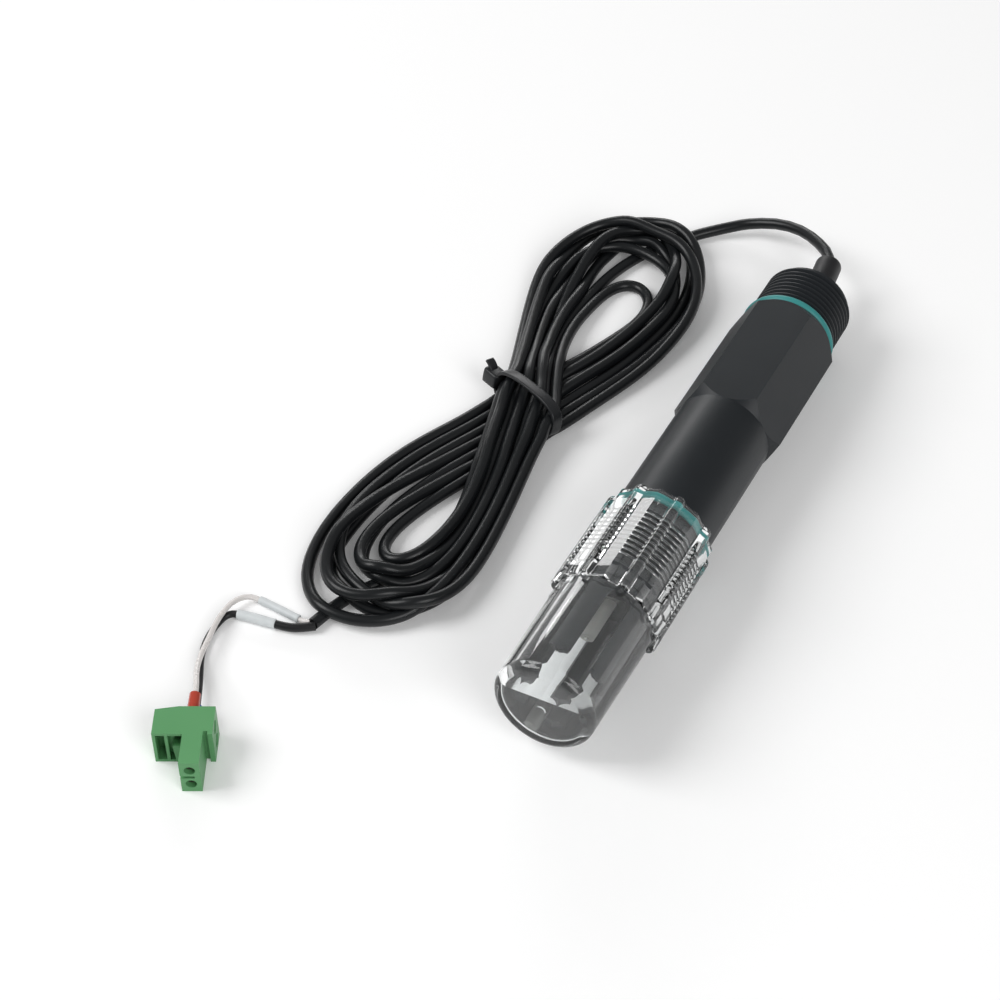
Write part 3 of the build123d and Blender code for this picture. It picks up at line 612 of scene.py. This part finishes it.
def centre_line(piece, fine=12):
    """The points of a cord's own spline, read from a copy of its curve that has no thickness."""
    bare = piece.data.copy()
    bare.bevel_depth = 0
    bare.resolution_u = fine
    holder = bpy.data.objects.new("line", bare)
    mesh = bpy.data.meshes.new_from_object(holder)
    points = np.zeros(len(mesh.vertices) * 3)
    mesh.vertices.foreach_get("co", points)
    bpy.data.objects.remove(holder)
    bpy.data.curves.remove(bare)
    bpy.data.meshes.remove(mesh)
    return points.reshape(-1, 3)


gland_line = mm([
    (0, 70.9, 13.5), (0, 76.0, 13.37), (0, 82.0, 13.22), (-0.2, 88.0, 13.08), (-0.6, 93.0, 12.95),
    (-1.25, 99.0, 12.82),
])
gland_r, mouth_round, mouth_depth = 0.00395, 0.0008, 0.002
gland_rim = np.linspace(0, np.pi / 2, 7)[1:]
gland_run = np.linalg.norm(np.diff(gland_line, axis=0), axis=1).sum()
gland_at = np.concatenate([
    [0, 0],
    np.linspace(0.0005, gland_run - mouth_round, 24),
    gland_run - mouth_round * (1 - np.sin(gland_rim)),
    [gland_run, gland_run - mouth_depth, gland_run - mouth_depth],
])
gland_radius = np.concatenate([
    [0.0001, gland_r],
    np.full(24, gland_r),
    gland_r - mouth_round * (1 - np.cos(gland_rim)),
    [0.0018, 0.00175, 0.0001],
])
gland_material = finish("gland", moulded((0.008, 0.008, 0.009), (0.014, 0.014, 0.016), 0.45, 1400.0, 0.00005))
gland_rings = rings_along(gland_line, gland_at, gland_radius, 48)
gland = skin("strain_relief", gland_rings, gland_material, closed_across=True)
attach(gland, "probe")
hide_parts("cable_gland")


# Split: the cable's two conductors leave its end. The screen is sleeved in black shrink tube,
# and the core keeps its own clear insulation over tinned wire.
shield_route = mm([
    (-71.885, -87.269, 1.7), (-74.2, -88.9, 1.6), (-77.6, -90.6, 1.4), (-82.0, -91.3, 1.5),
    (-92.9, -92.4, 1.5), (-95.3, -93.9, 1.2), (-96.0, -98.2, 1.0), (-95.4, -104.4, 1.0),
    (-93.2, -110.2, 1.1), (-89.5, -116.2, 1.8),
    (-85.598, -123.153, 2.86), (-84.283, -125.849, 2.86),
])
core_route = mm([
    (-73.915, -86.731, 1.7), (-75.4, -87.1, 1.5), (-77.2, -86.9, 1.4), (-89.6, -85.4, 1.4),
    (-93.4, -86.0, 2.0), (-95.8, -90.4, 2.6), (-95.6, -97.3, 3.1), (-94.0, -104.2, 3.3),
    (-92.5, -111.0, 3.7), (-89.8, -117.1, 5.2),
    (-85.598, -123.153, 7.94), (-84.283, -125.849, 7.94),
])
shield_r, core_r = 0.00095, 0.00075
shield_wire = cord("shield_wire", shield_route, shield_r, 8)
shield_taper = [1.32, 1.3, 1.26, 1.2, 1.05, 1.0, 0.98, 0.96, 0.94, 0.92, 0.9, 0.9]
shield_wire.data.splines[0].points.foreach_set("radius", shield_taper)
core_wire = cord("core_wire", core_route, core_r, 8)
shrink = finish("shrink", moulded((0.008, 0.008, 0.009), (0.014, 0.014, 0.015), 0.36, 900.0, 0.00006))
shield_wire.data.materials.append(shrink)


def insulation_surface(w):
    clouds = w.node("TexNoise", {"Vector": w.node("TexCoord", out="Object"), "Scale": 260.0, "Detail": 3.0})
    return w.node("BsdfPrincipled", {
        "Base Color": mixed(w, clouds, (0.76, 0.72, 0.70), (0.86, 0.83, 0.81)),
        "Roughness": clouds * 0.1 + 0.22,
        "Transmission Weight": 0.15,
        "IOR": 1.5,
    })


core_wire.data.materials.append(finish("core_insulation", insulation_surface))
for wire, node, place in (
    (shield_wire, "shield_wire", "shield_insulation"),
    (core_wire, "core_wire", "core_insulation"),
):
    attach(wire, "probe")
    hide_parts(node)


# Markers: white tubes pushed over both conductors, with square-cut ends.
# Their walls are a little uneven, and both are left without lettering.
def marker_surface(w):
    spot = w.node("TexCoord", out="Object")
    clouds = w.node("TexNoise", {"Vector": spot, "Scale": 400.0, "Detail": 3.0})
    return w.node("BsdfPrincipled", {
        "Base Color": mixed(w, clouds, (0.56, 0.59, 0.60), (0.66, 0.69, 0.70)),
        "Roughness": clouds * 0.12 + 0.38,
        "Normal": w.node("Bump", {"Strength": 0.2, "Distance": 0.0001, "Height": clouds}),
    })


white = finish("marker", marker_surface)


def sleeve(name, wire, start, end, bore, outside, node):
    """A tube over a stretch of a wire: out along its outside, round its rims, back along its bore."""
    path = centre_line(wire)
    rim = 0.00015
    out = np.linspace(start + rim, end - rim, 22)
    back = np.linspace(end, start, 8)
    at = np.concatenate([[start], out, [end], back])
    wobble = outside * (1 + 0.02 * np.sin(out * 900) + 0.015 * np.sin(out * 2300))
    radius = np.concatenate([[outside - rim], wobble, [outside - rim], np.full(8, bore)])
    piece = skin(name, rings_along(path, at, radius), white, closed_across=True, closed_along=True)
    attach(piece, "probe")
    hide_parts(node)
    return piece


core_marker = sleeve("core_marker", core_wire, 0.0032, 0.0162, 0.00078, 0.00112, "core_marker")
shield_marker = sleeve("shield_marker", shield_wire, 0.0108, 0.0218, 0.00112, 0.00138, "shield_marker")


# Ferrules: crimped pins with plastic collars, red on the core and blue on the screen.
# The plug's clamps hold their tinned pins.
coat(finish("red_collar", moulded((0.40, 0.045, 0.022), (0.47, 0.055, 0.03), 0.30, 900.0, 0.00003, 0.3)),
     "core_ferrule")
coat(finish("blue_collar", moulded((0.015, 0.06, 0.30), (0.02, 0.075, 0.36), 0.30, 900.0, 0.00003, 0.3)),
     "shield_ferrule")
coat(finish("tinned", drawn_metal((0.70, 0.69, 0.67), 0.3, 3000.0)),
     "core_ferrule_pin", "shield_ferrule_pin")

# Plug housing: a green moulding with two wire entries, two screws in its side and two sockets.
# It is nylon with a fine grain.
coat(finish("plug_green", moulded((0.095, 0.29, 0.115), (0.12, 0.33, 0.14), 0.45, 1600.0, 0.00005)),
     "terminal_housing")

# Contacts and clamps: stamped tinned contacts, plated steel cages, and slotted screws.
coat(finish("contact", drawn_metal((0.20, 0.18, 0.15), 0.4, 2500.0)), "contact_1", "contact_2")
coat(finish("clamp", drawn_metal((0.55, 0.55, 0.56), 0.28, 2500.0)),
     "clamp_cage_1", "clamp_cage_2", "clamp_screw_1", "clamp_screw_2")


# Tie: a nylon strap pulled tight round the waist of the hank, with its square head.
# Its cut end curls up beside the head.
def strap(name, line, across, width, thickness, material, closed=False):
    """A flat strap along a line: a rounded oblong section, its wide side along the direction across.
    The width may be one number or one for each point. An open strap's ends are closed."""
    ahead = np.roll(line, -1, axis=0) - np.roll(line, 1, axis=0)
    if not closed:
        ahead[0], ahead[-1] = line[1] - line[0], line[-1] - line[-2]
    ahead /= np.linalg.norm(ahead, axis=1)[:, None]
    outward = np.cross(ahead, across)
    outward /= np.linalg.norm(outward, axis=1)[:, None]
    turn = np.linspace(0, 2 * np.pi, 28, endpoint=False)
    wide = np.sign(np.cos(turn)) * np.abs(np.cos(turn)) ** 0.25
    thick = np.sign(np.sin(turn)) * np.abs(np.sin(turn)) ** 0.5
    half = np.broadcast_to(width, len(line))[:, None, None] / 2
    points = line[:, None] + half * wide[None, :, None] * across
    points = points + thickness / 2 * thick[None, :, None] * outward[:, None]
    if not closed:
        first_cap, last_cap = line[:1, None] + 0 * points[:1], line[-1:, None] + 0 * points[-1:]
        points = np.concatenate([first_cap, points, last_cap])
    return skin(name, points, material, closed_across=True, closed_along=closed)


lean, upright = np.radians(14.0), np.array([0, 0, 1])
tie_run, tie_level = np.array([*tie_along, 0.0]), np.array([*tie_side, 0.0])
tie_across = tie_run * np.cos(lean) - upright * np.sin(lean)
tie_stand = tie_run * np.sin(lean) + upright * np.cos(lean)
tie_middle = np.array([*tie_centre, 0.0061 * np.cos(lean) + 0.0018 * np.sin(lean)])
loop_turn = np.linspace(0, 2 * np.pi, 120, endpoint=False)
loop_half, loop_rise = 0.01255, 0.00555
loop_out = loop_half * np.sign(np.cos(loop_turn)) * np.abs(np.cos(loop_turn)) ** 0.62
loop_up = loop_rise * np.sign(np.sin(loop_turn)) * np.abs(np.sin(loop_turn)) ** 0.75
tie_loop = tie_middle + loop_out[:, None] * tie_level + loop_up[:, None] * tie_stand
nylon = finish("nylon", moulded((0.010, 0.011, 0.012), (0.018, 0.019, 0.021), 0.32, 1200.0, 0.00004))
tie_strap = strap("tie_strap", tie_loop, tie_across, 0.0036, 0.0011, nylon, closed=True)
head_middle = tie_middle - 0.0146 * tie_level
head_at = np.array([-0.0028, -0.0025, -0.0018, 0.0018, 0.0025, 0.0028])[:, None]
head_width = np.array([0.0044, 0.0050, 0.0052, 0.0052, 0.0050, 0.0044])
tie_head = strap("tie_head", head_middle + head_at * tie_level, tie_across, head_width, 0.0046, nylon)
curl, curl_r = np.linspace(0, np.radians(75.0), 16)[:, None], 0.0040
curl_start = head_middle - 0.0006 * tie_level
curl_line = curl_start + curl_r * (np.sin(curl) * tie_stand - (1 - np.cos(curl)) * tie_level)
tie_end = strap("tie_end", curl_line, tie_across, 0.0028, 0.0010, nylon)
for piece in (tie_strap, tie_head, tie_end):
    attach(piece, "probe")
    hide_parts("cable_tie")

# Free cords: the two wires run from the cable's cut end to the plug, with markers and ferrules.
# Each wire's length is summed along its own line.
for wire, wire_route, wire_r, carried in (
    (core_wire, core_route, core_r, [core_marker, "core_ferrule", "core_ferrule_pin"]),
    (shield_wire, shield_route, shield_r, [shield_marker, "shield_ferrule", "shield_ferrule_pin"]),
):
    wire_length = np.linalg.norm(np.diff(centre_line(wire), axis=0), axis=1).sum()
    2 * wire_r
